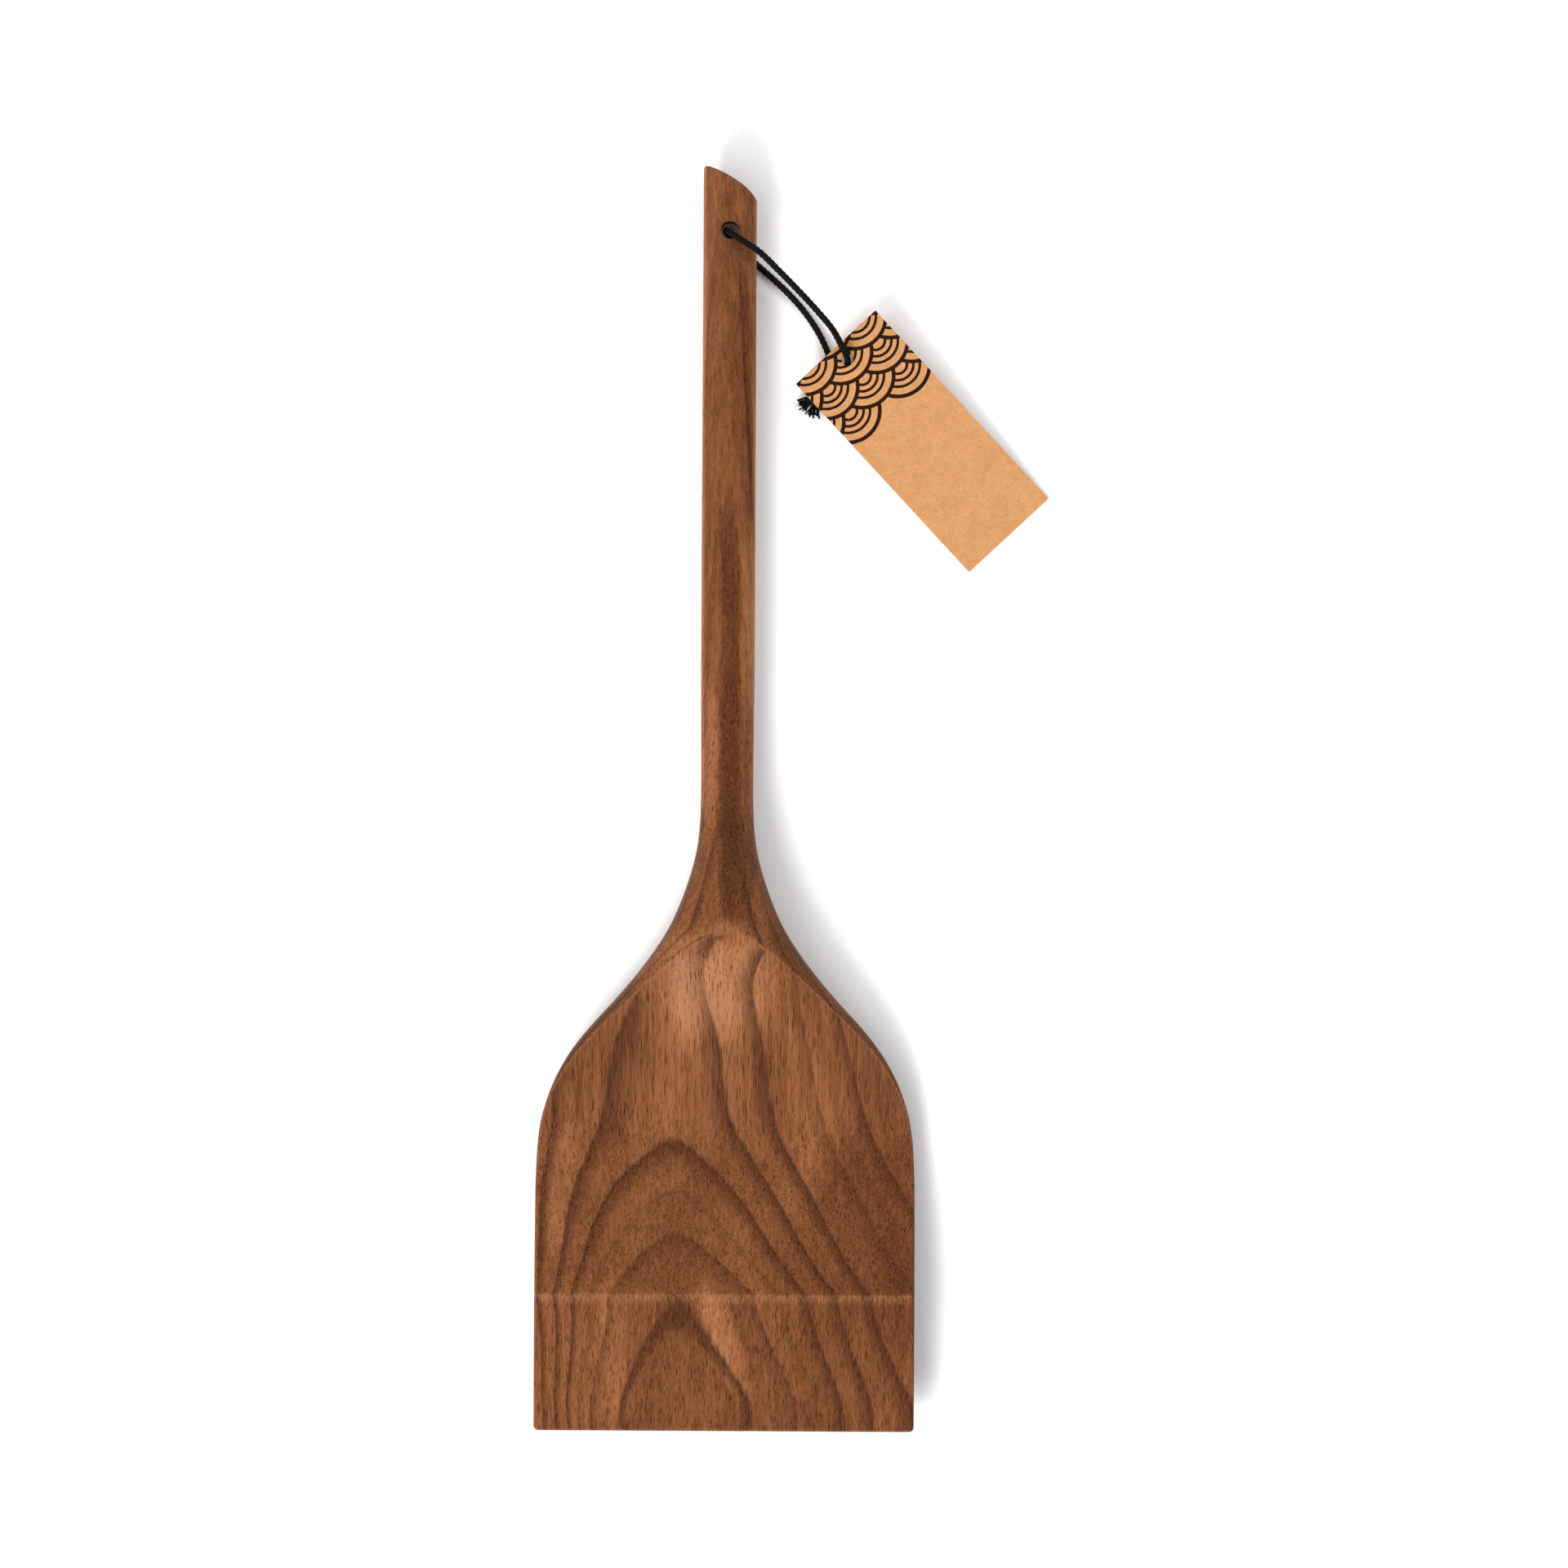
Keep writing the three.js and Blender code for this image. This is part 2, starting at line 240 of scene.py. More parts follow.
def catmull(points, spacing):
    """Evenly spaced points on a centripetal Catmull-Rom curve."""
    p = np.array(points, float)
    p = np.vstack([2 * p[0] - p[1], p, 2 * p[-1] - p[-2]])
    out = []
    for i in range(1, len(p) - 2):
        x0, x1, x2, x3 = p[i - 1], p[i], p[i + 1], p[i + 2]
        d0, d1, d2 = (np.linalg.norm(b - a) ** 0.5 for a, b in ((x0, x1), (x1, x2), (x2, x3)))
        t1 = ((x1 - x0) / d0 - (x2 - x0) / (d0 + d1) + (x2 - x1) / d1) * d1
        t2 = ((x2 - x1) / d1 - (x3 - x1) / (d1 + d2) + (x3 - x2) / d2) * d1
        for t in np.linspace(0, 1, 24, endpoint=False):
            out.append(
                x1 + t1 * t + (-3 * x1 + 3 * x2 - 2 * t1 - t2) * t * t + (2 * x1 - 2 * x2 + t1 + t2) * t**3
            )
    out.append(p[-2])
    out = np.array(out)
    s = np.concatenate([[0], np.cumsum(np.linalg.norm(np.diff(out, axis=0), axis=1))])
    n = max(2, int(round(s[-1] / spacing)) + 1)
    q = np.linspace(0, s[-1], n)
    return np.stack([np.interp(q, s, out[:, k]) for k in range(3)], 1), s[-1]


def frames(line):
    """Tangents and two normals that turn as little as possible along a line."""
    t = np.gradient(line, axis=0)
    t /= np.linalg.norm(t, axis=1)[:, None]
    ref = np.array([0.0, 0.0, 1.0]) if abs(t[0][2]) < 0.9 else np.array([1.0, 0.0, 0.0])
    n = np.cross(t[0], ref)
    n /= np.linalg.norm(n)
    ns = [n]
    for i in range(1, len(line)):
        n = ns[-1] - t[i] * np.dot(ns[-1], t[i])
        ns.append(n / np.linalg.norm(n))
    ns = np.array(ns)
    return t, ns, np.cross(t, ns)


def tube(line, radius, sides, verts, faces, caps=True):
    """Adds a closed tube round a line. radius(i, angle) gives its skin."""
    base = len(verts)
    t, a, b = frames(line)
    ang = np.linspace(0, 2 * math.pi, sides, endpoint=False)
    for i, c in enumerate(line):
        r = radius(i, ang)
        ring = c + (a[i][None] * np.cos(ang)[:, None] + b[i][None] * np.sin(ang)[:, None]) * np.reshape(r, (-1, 1))
        verts.extend(ring.tolist())
    n = len(line)
    for i in range(n - 1):
        for j in range(sides):
            k = (j + 1) % sides
            faces.append((base + i * sides + j, base + i * sides + k, base + (i + 1) * sides + k, base + (i + 1) * sides + j))
    if caps:
        for i, end in ((0, -1), (n - 1, 1)):
            verts.append((line[i] + t[i] * end * 0.25 * float(np.mean(radius(i, ang)))).tolist())
            tip = len(verts) - 1
            for j in range(sides):
                k = (j + 1) % sides
                tri = (base + i * sides + j, base + i * sides + k, tip)
                faces.append(tri if end > 0 else tri[::-1])


def plied(s, pitch, r, plies=3, phase=0.0):
    """Skin of a cord of twisted plies at each place s along it."""
    o, q = 0.536, 0.47

    def radius(i, ang):
        d = (ang - 2 * math.pi * s[i] / pitch - phase) % (2 * math.pi / plies)
        d = np.minimum(d, 2 * math.pi / plies - d)
        lobe = o * np.cos(d) + np.sqrt(np.maximum(q * q - (o * np.sin(d)) ** 2, 0.0))
        return r * np.maximum(lobe, 0.87) * (1.0 - 0.015 * np.cos(7 * ang + 3 * s[i]))

    return radius


# ---------------------------------------------------------------- node helpers
class Graph:
    def __init__(self, name):
        self.material = bpy.data.materials.new(name)
        self.material.use_nodes = True
        self.tree = self.material.node_tree
        self.shader = next(n for n in self.tree.nodes if n.type == "BSDF_PRINCIPLED")

    def _put(self, socket, value):
        if value is None:
            return
        if isinstance(value, bpy.types.NodeSocket):
            self.tree.links.new(value, socket)
        else:
            socket.default_value = value

    def node(self, kind, **settings):
        n = self.tree.nodes.new(kind)
        for k, v in settings.items():
            setattr(n, k, v)
        return n

    def math(self, op, a, b=None, c=None, clamp=False):
        n = self.node("ShaderNodeMath", operation=op, use_clamp=clamp)
        for s, v in zip(n.inputs, (a, b, c)):
            self._put(s, v)
        return n.outputs[0]

    def add(self, a, b):
        return self.math("ADD", a, b)

    def sub(self, a, b):
        return self.math("SUBTRACT", a, b)

    def mul(self, a, b):
        return self.math("MULTIPLY", a, b)

    def fma(self, a, b, c):
        return self.math("MULTIPLY_ADD", a, b, c)

    def step(self, v, lo, hi, out_lo=0.0, out_hi=1.0):
        n = self.node("ShaderNodeMapRange", interpolation_type="SMOOTHSTEP", clamp=True)
        for s, q in zip(n.inputs, (v, lo, hi, out_lo, out_hi)):
            self._put(s, q)
        return n.outputs[0]

    def vector(self, x, y, z):
        n = self.node("ShaderNodeCombineXYZ")
        for s, v in zip(n.inputs, (x, y, z)):
            self._put(s, v)
        return n.outputs[0]

    def vmath(self, op, a, b=None):
        n = self.node("ShaderNodeVectorMath", operation=op)
        self._put(n.inputs[0], a)
        self._put(n.inputs[1], b)
        return n

    def millimetres(self):
        """Place on the piece in its own frame, in millimetres."""
        c = self.node("ShaderNodeTexCoord").outputs["Object"]
        n = self.node("ShaderNodeVectorMath", operation="SCALE")
        self._put(n.inputs[0], c)
        n.inputs["Scale"].default_value = 1000.0
        return n.outputs[0]

    def split(self, v):
        n = self.node("ShaderNodeSeparateXYZ")
        self._put(n.inputs[0], v)
        return n.outputs[0], n.outputs[1], n.outputs[2]

    def noise(self, v, scale, detail=2.0, rough=0.5, distort=0.0):
        n = self.node("ShaderNodeTexNoise")
        self._put(n.inputs["Vector"], v)
        n.inputs["Scale"].default_value = scale
        n.inputs["Detail"].default_value = detail
        n.inputs["Roughness"].default_value = rough
        n.inputs["Distortion"].default_value = distort
        return n.outputs["Fac"]

    def voronoi(self, v, scale=1.0, feature="F1"):
        n = self.node("ShaderNodeTexVoronoi", feature=feature)
        self._put(n.inputs["Vector"], v)
        n.inputs["Scale"].default_value = scale
        return n

    def ramp(self, v, stops, mode="LINEAR"):
        n = self.node("ShaderNodeValToRGB")
        n.color_ramp.interpolation = mode
        e = n.color_ramp.elements
        while len(e) > 1:
            e.remove(e[-1])
        e[0].position, e[0].color = stops[0][0], tone(stops[0][1])
        for p, c in stops[1:]:
            k = e.new(p)
            k.color = tone(c)
        self._put(n.inputs[0], v)
        return n.outputs["Color"]

    def mix(self, f, a, b, how="MIX"):
        n = self.node("ShaderNodeMix", data_type="RGBA", blend_type=how)
        self._put(n.inputs[0], f)
        self._put(n.inputs[6], a if isinstance(a, bpy.types.NodeSocket) else tone(a))
        self._put(n.inputs[7], b if isinstance(b, bpy.types.NodeSocket) else tone(b))
        return n.outputs[2]

    def bump(self, height, distance, strength=1.0, below=None):
        n = self.node("ShaderNodeBump")
        n.inputs["Strength"].default_value = strength
        n.inputs["Distance"].default_value = distance
        self._put(n.inputs["Height"], height)
        if below is not None:
            self._put(n.inputs["Normal"], below)
        return n.outputs["Normal"]

    def set(self, **sockets):
        for k, v in sockets.items():
            self._put(self.shader.inputs[k.replace("_", " ")], v)


def tone(c):
    if isinstance(c, (int, float)):
        return (c, c, c, 1.0)
    return tuple(c) + (1.0,) if len(c) == 3 else tuple(c)


# ---------------------------------------------------------------- materials
def wood_material():
    """Dark open-pored hardwood: growth rings, vessels and fibres run through the solid."""
    g = Graph("oiled_hardwood")
    p = g.millimetres()
    x, y, z = g.split(p)
    lean = g.fma(y, -0.19, z)

    # Growth rings: level surfaces that lean towards the tip and bow under the blade.
    yb = g.math("MINIMUM", y, -40.0)
    up = g.sub(y, yb)
    u = g.mul(x, 1 / 50)
    v = g.fma(yb, 1 / 70, 1.5)
    off = g.add(x, 13.0)
    r = g.mul(g.math("SQRT", g.fma(off, off, 9.0)), 1 / 50)
    head = g.math("MAXIMUM", g.fma(g.math("MINIMUM", y, -36.0), 1 / 45, 85 / 45), 0.0)
    h2 = g.mul(head, head)
    h4 = g.mul(h2, h2)
    u2, v2 = g.mul(u, u), g.mul(v, v)
    u3, v3 = g.mul(u2, u), g.mul(v2, v)
    v4, v5 = g.mul(v2, v2), g.mul(v2, v3)
    q = g.fma(up, -0.06, z)
    q = g.fma(g.math("MINIMUM", up, 28.0), 0.10, q)
    q = g.add(q, g.step(y, -28.0, 34.0, 0.0, 4.2))
    for k, term, by in (
        (-2.256, v, None), (-9.648, v2, None), (-21.3, v3, None), (6.021, v4, None), (16.377, v5, None),
        (-5.411, u, None), (-0.785, u, v), (-2.068, u, v2), (3.944, u, v3), (-7.341, u2, None), (0.512, u2, v),
        (-6.517, u2, v2), (3.263, u2, v3), (1.242, u3, None), (-6.475, u3, v), (1.871, u3, v2), (-3.691, r, None),
        (0.729, r, v), (-0.844, r, v2), (-11.192, r, v3), (6.361, h2, None), (-0.847, h2, u), (2.459, h2, r),
        (-8.099, h4, None), (1.065, h4, u), (7.6, h4, r),
    ):
        q = g.fma(term if by is None else g.mul(term, by), k, q)
    sway = g.noise(g.vector(g.mul(x, 0.06), g.mul(y, 0.035), g.mul(z, 0.05)), 1.0, 2.0, 0.5)
    q = g.fma(g.sub(sway, 0.5), 0.4, q)
    wisp = g.noise(g.vector(g.mul(x, 1.3), g.mul(y, 0.085), g.mul(lean, 1.0)), 1.0, 3.0, 0.6)
    grip = g.step(y, -36.0, -6.0)
    q = g.fma(g.sub(wisp, 0.5), g.fma(grip, 1.1, 0.44), q)

    lo, hi = -12.0, 18.0

    def at(h):
        return (h - lo) / (hi - lo)

    def bands(rings):
        """Each ring is sharp on its outer side and fades inwards: place, depth, core, fade and rest."""
        stops = [(0.0, 0.10)]
        for h, d, core, fade, rest in rings:
            stops += [(at(h - 0.20), 0.03), (at(h), d), (at(h + core), d * 0.80), (at(h + fade), rest)]
        return g.ramp(span.outputs[0], stops + [(1.0, 0.06)])

    span = g.node("ShaderNodeMapRange", clamp=True)
    for sock, val in zip(span.inputs, (q, lo, hi, 0.0, 1.0)):
        g._put(sock, val)
    ring = g.math(
        "MAXIMUM",
        bands([
            (-10.2, 0.35, 0.5, 1.6, 0.10), (-7.1, 0.80, 0.5, 1.7, 0.10), (-4.6, 0.30, 0.4, 1.4, 0.08),
            (-2.4, 0.62, 0.4, 1.5, 0.10), (1.78, 0.95, 0.36, 1.2, 0.12),
        ]),
        bands([
            (4.64, 0.95, 0.36, 1.15, 0.14), (7.08, 1.0, 0.20, 1.0, 0.16), (9.1, 0.42, 0.10, 0.7, 0.10),
            (11.0, 0.80, 0.08, 0.8, 0.28), (14.1, 0.98, 0.30, 0.48, 0.22),
        ]),
    )

    shade = g.step(g.add(g.mul(g.add(x, 15.0), g.mul(g.add(x, 15.0), 1 / 121)), g.mul(g.add(y, 54.0), g.mul(g.add(y, 54.0), 1 / 361))), 1.5, 0.0)
    ring = g.mul(ring, g.fma(grip, -0.42, 1.0))
    ring = g.mul(ring, g.fma(shade, -0.55, 1.0))

    # Fibres: fine streaks along the grain.
    streak = g.noise(g.vector(g.mul(x, 1.0), g.mul(y, 0.026), g.mul(lean, 1.0)), 1.0, 4.0, 0.60)
    fibre = g.noise(g.vector(g.mul(x, 4.2), g.mul(y, 0.12), g.mul(lean, 4.2)), 1.0, 3.0, 0.6)
    cloud = g.noise(g.vector(g.mul(x, 0.06), g.mul(y, 0.02), g.mul(lean, 0.09)), 1.0, 2.0, 0.5)

    # Vessels: long thin pores along the grain that the surface cuts at a slant.
    bend = g.noise(g.vector(g.mul(x, 0.22), g.mul(y, 0.05), g.mul(lean, 0.22)), 1.0, 1.0, 0.5)
    px = g.fma(bend, 1.6, x)

    def pores(across, deep, along, r0, r1, shift, soft):
        vec = g.vector(
            g.fma(px, 1 / across, shift), g.fma(y, 1 / along, shift * 1.7), g.fma(lean, 1 / deep, shift * 0.6)
        )
        vo = g.voronoi(vec)
        size = g.split(vo.outputs["Color"])[0]
        edge = g.fma(size, r1 - r0, r0)
        d = g.math("DIVIDE", vo.outputs["Distance"], edge)
        return g.step(d, 1.0, soft)

    coarse = pores(0.56, 0.80, 9.0, 0.20, 0.37, 3.3, 0.50)
    middle = pores(0.42, 0.50, 6.5, 0.17, 0.38, 11.9, 0.45)
    small = pores(0.30, 0.34, 4.0, 0.18, 0.42, 7.1, 0.4)
    upper = g.step(y, 12.0, 66.0)
    short = g.fma(upper, -0.72, 1.0)
    coarse, middle, small = g.mul(coarse, short), g.mul(middle, short), g.mul(small, short)
    steady = g.fma(y, -0.045, z)
    vo = g.voronoi(g.vector(g.mul(px, 1 / 0.60), g.fma(y, 1 / 10.0, 4.3), g.mul(steady, 1 / 0.80)))
    drawn = g.math("DIVIDE", vo.outputs["Distance"], g.fma(g.split(vo.outputs["Color"])[0], 0.26, 0.12))
    drawn = g.mul(g.step(drawn, 1.0, 0.40), upper)

    # Paler and darker places: middle, half lengths, slant and strength. Most are tone in the board; the ones marked
    # below also hold painted light and shade.
    def zone(cx, cy, rx, ry, slant):
        dy = g.sub(y, cy)
        dx = g.fma(dy, slant, g.sub(x, cx))
        e = g.fma(g.mul(dx, dx), 1 / rx**2, g.mul(g.mul(dy, dy), 1 / ry**2))
        return g.step(e, 1.6, 0.0)

    # The broad paler patch under the apex of the scoop's rim is partly paler wood and partly a painted highlight on the
    # scoop's upper wall, which faces the light.
    pale_and_painted_light = g.mul(zone(0.0, -51.0, 17.0, 16.0, 0.0), 0.37)
    for cx, cy, rx, ry, slant, k in (
        (0.0, -150.0, 4.6, 17.0, 0.34, 0.30), (-46.0, -104.0, 4.4, 24.0, -0.06, 0.20),
        (-31.0, -152.0, 4.5, 24.0, 0.02, 0.13), (-6.0, -80.0, 13.0, 20.0, 0.0, 0.12), (-37.0, -100.0, 8.0, 12.0, 0.1, 0.08),
        # (-4.8, 10), (5.4, 50) and (5.6, 12) on the sides of the handle are partly paler wood and partly painted light
        # on its rounded flanks.
        (-4.8, 10.0, 2.4, 22.0, 0.0, 0.20), (5.4, 50.0, 2.2, 26.0, 0.0, 0.26), (10.0, -30.0, 3.0, 9.0, 0.2, 0.10), (20.0, -80.0, 9.0, 26.0, 0.2, 0.06),
        (-15.0, -54.0, 10.0, 17.0, 0.0, 0.20), (5.6, 12.0, 2.2, 22.0, 0.0, 0.10), (-2.0, -102.0, 56.0, 28.0, 0.0, 0.045),
        (-36.0, -156.0, 15.0, 22.0, 0.0, 0.075), (6.5, 108.0, 0.8, 50.0, 0.02, 0.16), (-5.0, 150.0, 3.0, 40.0, 0.0, 0.05),
    ):
        pale_and_painted_light = g.fma(zone(cx, cy, rx, ry, slant), k, pale_and_painted_light)
    for cx, cy, rx, ry, slant, k in (
        # (0.6, 20) along the top of the handle is partly darker wood and partly painted shade on its upward-facing top.
        (42.0, -122.0, 16.0, 30.0, 0.2, -0.11), (0.6, 20.0, 3.0, 60.0, 0.0, -0.30), (3.0, -20.0, 5.0, 15.0, 0.0, -0.14),
        (44.0, -90.0, 9.0, 40.0, 0.1, -0.06), (4.76, 111.0, 0.52, 40.0, 0.0575, -0.28), (2.6, 112.0, 2.4, 24.0, 0.04, -0.06),
        (-1.0, 66.0, 1.1, 14.0, 0.05, -0.14), (-2.0, 118.0, 5.0, 60.0, 0.0, -0.055), (13.0, -50.0, 6.0, 13.0, 0.0, -0.14),
    ):
        pale_and_painted_light = g.fma(zone(cx, cy, rx, ry, slant), k, pale_and_painted_light)

    # Painted highlight: a paler strip along both edges of the handle stands in for light caught by its rounded sides,
    # stronger on the left.
    rim = g.mul(g.step(g.math("ABSOLUTE", x), 6.1, 7.2), g.step(y, -8.0, 12.0))
    pale_and_painted_light = g.fma(rim, g.step(x, -1.0, 1.0, 0.30, 0.22), pale_and_painted_light)

    # Colour.
    tone_f = g.add(g.fma(streak, 0.60, g.mul(cloud, 0.40)), pale_and_painted_light)
    base = g.ramp(
        tone_f,
        [
            (0.20, (0.080, 0.0240, 0.0074)),
            (0.36, (0.122, 0.0385, 0.0122)),
            (0.50, (0.174, 0.0590, 0.0202)),
            (0.64, (0.246, 0.0890, 0.0325)),
            (0.82, (0.345, 0.1370, 0.0570)),
            (0.98, (0.420, 0.1850, 0.0880)),
        ],
    )
    colour = g.mix(g.mul(ring, 0.92), base, (0.050, 0.0142, 0.0044))
    colour = g.mix(g.step(fibre, 0.46, 0.76, 0.0, 0.36), colour, (0.31, 0.122, 0.050))
    colour = g.mix(g.step(fibre, 0.50, 0.26, 0.0, 0.40), colour, (0.056, 0.0165, 0.0054))

    # Edges rubbed pale by use, partly a painted highlight along the scoop's rim and the handle end, and the sanded line
    # at the head of the bevel.
    dash = g.noise(g.vector(g.mul(x, 2.4), g.mul(y, 0.45), g.mul(z, 1.2)), 1.0, 3.0, 0.7)
    worn = g.node("ShaderNodeAttribute", attribute_type="GEOMETRY", attribute_name="edge_wear_and_highlight").outputs["Fac"]
    worn = g.mul(worn, g.step(dash, 0.36, 0.62, 0.08, 0.75))
    crease = g.mul(g.step(y, CREASE[0] + 0.5, CREASE[0] - 0.1), g.step(y, CREASE[0] - 3.0, CREASE[0] - 0.6))
    crease = g.mul(g.mul(crease, g.step(z, 9.6, 11.2)), g.step(dash, 0.38, 0.66, 0.03, 0.72))
    crease = g.mul(crease, g.fma(ring, -0.55, 1.0))
    colour = g.mix(g.math("MAXIMUM", worn, crease), colour, (0.36, 0.155, 0.072))

    colour = g.mix(g.mul(drawn, 0.90), colour, (0.50, 0.38, 0.29), "MULTIPLY")
    colour = g.mix(g.mul(small, 0.85), colour, (0.60, 0.48, 0.38), "MULTIPLY")
    colour = g.mix(g.mul(middle, 0.95), colour, (0.47, 0.34, 0.25), "MULTIPLY")
    colour = g.mix(g.mul(coarse, 0.95), colour, (0.42, 0.29, 0.20), "MULTIPLY")

    pits = g.math("MAXIMUM", g.math("MAXIMUM", coarse, middle), g.mul(small, 0.6))
    relief = g.sub(g.mul(fibre, 0.35), pits)
    normal = g.bump(relief, 0.00008, 0.45)
    rough = g.fma(fibre, 0.14, 0.42)
    rough = g.fma(pits, 0.22, rough)
    g.set(Base_Color=colour, Roughness=rough, Normal=normal)
    g.shader.inputs["Specular IOR Level"].default_value = 0.08
    return g.material


def cord_material():
    """Black twisted cotton: matt, with a little dust-grey on the loose hairs."""
    g = Graph("black_cotton")
    p = g.millimetres()
    hair = g.noise(p, 3.6, 3.0, 0.65)
    lint = g.noise(p, 1.1, 2.0, 0.5)
    colour = g.ramp(hair, [(0.34, (0.0014, 0.0011, 0.0009)), (0.54, (0.0034, 0.0027, 0.0022)), (0.74, (0.017, 0.0138, 0.0112))])
    colour = g.mix(g.step(lint, 0.5, 0.8, 0.0, 0.35), colour, (0.0095, 0.0078, 0.0066))
    g.set(Base_Color=colour, Roughness=g.fma(hair, 0.2, 0.6), Normal=g.bump(hair, 0.00018, 0.6))
    g.shader.inputs["Specular IOR Level"].default_value = 0.09
    return g.material


def card_material():
    """Kraft card: mottled fibres and specks, with a plain scale pattern printed at the hole end."""
    g = Graph("kraft_card")
    p = g.millimetres()
    c, s = math.cos(TAG_HEADING), math.sin(TAG_HEADING)
    ct, st = math.cos(TAG_TILT), math.sin(TAG_TILT)
    rel = g.vmath("SUBTRACT", p, TAG_HOLE).outputs["Vector"]
    a = g.vmath("DOT_PRODUCT", rel, (c * ct, s * ct, -st)).outputs["Value"]
    b = g.vmath("DOT_PRODUCT", rel, (-s, c, 0.0)).outputs["Value"]
    h = g.vmath("DOT_PRODUCT", rel, (c * st, s * st, ct)).outputs["Value"]
    flat = g.vector(a, b, h)

    pulp = g.noise(flat, 0.16, 4.0, 0.6)
    mottle = g.noise(flat, 0.75, 3.0, 0.6)
    hair_a = g.noise(g.vector(g.mul(a, 0.9), g.mul(b, 4.2), h), 1.0, 2.0, 0.6, 1.2)
    hair_b = g.noise(g.vector(g.mul(a, 3.6), g.mul(b, 1.0), h), 1.0, 2.0, 0.6, 1.6)
    colour = g.ramp(
        g.fma(pulp, 0.45, g.mul(mottle, 0.55)),
        [(0.30, (0.478, 0.220, 0.084)), (0.50, (0.532, 0.254, 0.101)), (0.72, (0.590, 0.296, 0.126))],
    )
    colour = g.mix(g.step(hair_a, 0.545, 0.66, 0.0, 0.44), colour, (0.35, 0.154, 0.058))
    colour = g.mix(g.step(hair_b, 0.55, 0.67, 0.0, 0.55), colour, (0.65, 0.39, 0.20))
    speck = g.voronoi(g.vector(g.mul(a, 0.34), g.mul(b, 0.52), g.mul(h, 0.2)))
    dot = g.step(speck.outputs["Distance"], 0.11, 0.05)
    some = g.step(g.split(speck.outputs["Color"])[0], 0.55, 0.66)
    colour = g.mix(g.mul(g.mul(dot, some), 0.70), colour, (0.20, 0.082, 0.032))

    # Rows of equal overlapping scales across the card, each with three inner arcs.
    big, rise, first = 9.4, 4.5, -21.2
    jitter = g.mul(g.sub(g.noise(flat, 2.2, 2.0, 0.5), 0.5), 0.16)
    dist = None
    for row in range(7, -1, -1):
        da = g.sub(a, first + rise * row)
        shift = big if row % 2 else 0.0
        db = g.math("PINGPONG", g.add(b, shift + 4 * big), big)
        d = g.math("SQRT", g.fma(da, da, g.mul(db, db)))
        d = g.add(d, jitter)
        if dist is None:
            dist = d
        else:
            inside = g.math("LESS_THAN", d, big)
            n = g.node("ShaderNodeMix", data_type="FLOAT")
            for k, val in ((0, inside), (2, dist), (3, d)):
                g._put(n.inputs[k], val)
            dist = n.outputs[0]
    ink = g.ramp(
        g.mul(dist, 1 / 10.0),
        [(0.0, 0.0), (0.215, 1.0), (0.295, 0.0), (0.395, 1.0), (0.475, 0.0), (0.575, 1.0), (0.655, 0.0), (0.83, 1.0), (0.94, 0.0)],
        "CONSTANT",
    )
    upper = g.math("GREATER_THAN", h, 0.58)
    ink = g.mul(ink, upper)
    worn = g.step(g.noise(flat, 3.2, 3.0, 0.7), 0.30, 0.42, 0.95, 1.0)
    colour = g.mix(g.mul(ink, worn), colour, (0.0200, 0.0068, 0.0034))
    relief = g.fma(mottle, 0.6, g.mul(hair_a, 0.5))
    g.set(Base_Color=colour, Roughness=g.fma(mottle, 0.12, 0.74), Normal=g.bump(relief, 0.00008, 0.5))
    g.shader.inputs["Specular IOR Level"].default_value = 0.05
    return g.material


def floor_material():
    g = Graph("pale_floor")
    g.shader.inputs["Base Color"].default_value = (0.97, 0.97, 0.97, 1.0)
    g.shader.inputs["Roughness"].default_value = 0.9
    g.shader.inputs["Specular IOR Level"].default_value = 0.0
    return g.material


WOOD, CORD, CARD = wood_material(), cord_material(), card_material()

# ---------------------------------------------------------------- camera
camera_data = bpy.data.cameras.new("camera")
camera_data.lens = 200.0
camera_data.sensor_width = 36.0
camera_data.clip_start, camera_data.clip_end = 0.05, 60.0
camera = bpy.data.objects.new("camera", camera_data)
camera.location = (0.01573, 0.00404, 2.418)
camera.rotation_euler = (0.0, 0.0, 0.0055)
scene.collection.objects.link(camera)
scene.camera = camera


# ---------------------------------------------------------------- cord, knot and loose ends
def hang_cord():
    line, length = catmull(CORD_LINE, 0.3)
    s = np.linspace(0, length, len(line))
    verts, faces = [], []
    tube(line, plied(s, 4.2, CORD_D / 2 * 0.95), 24, verts, faces)
    ob = make_object("hang_cord_twisted", verts, faces, CORD, "cord_loop")
    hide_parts("hang_cord")
    return ob, line, length


# Axes of the knot: towards the loose ends, across, and up.
KNOT_A, KNOT_B = np.array([-0.595, -0.803, 0.0]), np.array([0.803, -0.595, 0.0])


def knot_point(a, b, c):
    return np.array(KNOT_AT) + KNOT_A * a + KNOT_B * b + np.array([0.0, 0.0, c])


